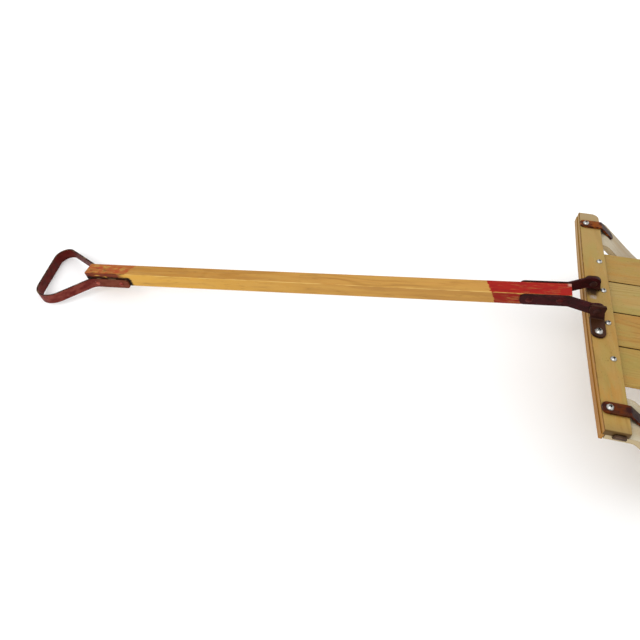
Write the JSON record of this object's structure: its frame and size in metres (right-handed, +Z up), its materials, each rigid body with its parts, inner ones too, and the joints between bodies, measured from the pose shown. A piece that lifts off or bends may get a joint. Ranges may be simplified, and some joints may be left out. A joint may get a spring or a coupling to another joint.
{
  "type": "ski sled with pull handle",
  "caption": "Child's wooden ski sled: slatted deck on two upswept skis, iron braces, and a long hinged pull handle with a strap-iron hand loop.",
  "frame": {"origin": "on the floor, under the middle of the whole object with its handle laid down", "axes": "+X from the grip to the rear of the sled, +Y to the rider's right, +Z up"},
  "size_m": [1.9352, 0.4684, 0.1953],
  "materials": {
    "deck_wood": "worn amber varnish",
    "board_wood": "worn amber varnish",
    "ski_wood": "bleached bare wood",
    "frame_wood": "worn amber varnish",
    "bar_wood": "varnish, with worn red paint at both ends",
    "grip_iron": "worn oxide-red paint",
    "fork_iron": "dark maroon paint over iron",
    "hinge_iron": "dark maroon paint over iron",
    "brace_iron": "rusty dark paint over iron",
    "bright_steel": "zinc plated",
    "dull_steel": "dull plated"
  },
  "bodies": {
    "sled": {"slat_1": "deck_wood", "slat_2": "deck_wood", "slat_3": "deck_wood", "slat_4": "deck_wood", "crossboard": "board_wood", "front_apron": "board_wood", "ski_left": "ski_wood", "ski_right": "ski_wood", "bearer_front": "frame_wood", "bearer_rear": "frame_wood", "knee_front_left": "frame_wood", "knee_front_right": "frame_wood", "knee_rear_left": "frame_wood", "knee_rear_right": "frame_wood", "bracket_left": "hinge_iron", "bracket_right": "hinge_iron", "pivot_rivet_left": "hinge_iron", "pivot_rivet_right": "hinge_iron", "brace_left": "brace_iron", "brace_right": "brace_iron", "brace_screws": "brace_iron", "tip_clip_left": "brace_iron", "tip_clip_right": "brace_iron", "slat_screws": "bright_steel", "bearer_screws": "bright_steel", "knee_screws": "bright_steel", "brace_bolts": "bright_steel", "bracket_bolts": "bright_steel", "sole_screws": "dull_steel", "brace_nuts": "dull_steel", "bracket_nuts": "dull_steel"},
    "handle": {"handle_bar": "bar_wood", "grip_loop": "grip_iron", "grip_rivets": "grip_iron", "fork_arm_left": "fork_iron", "fork_arm_right": "fork_iron", "fork_rivets": "fork_iron"}
  },
  "joints": [
    {"name": "handle_hinge", "type": "hinge", "parent": "sled", "child": "handle", "pos_m": [0.04293, 0, 0.1838], "axis": [0, 1, 0], "range_deg": [-30, 190]}
  ]
}
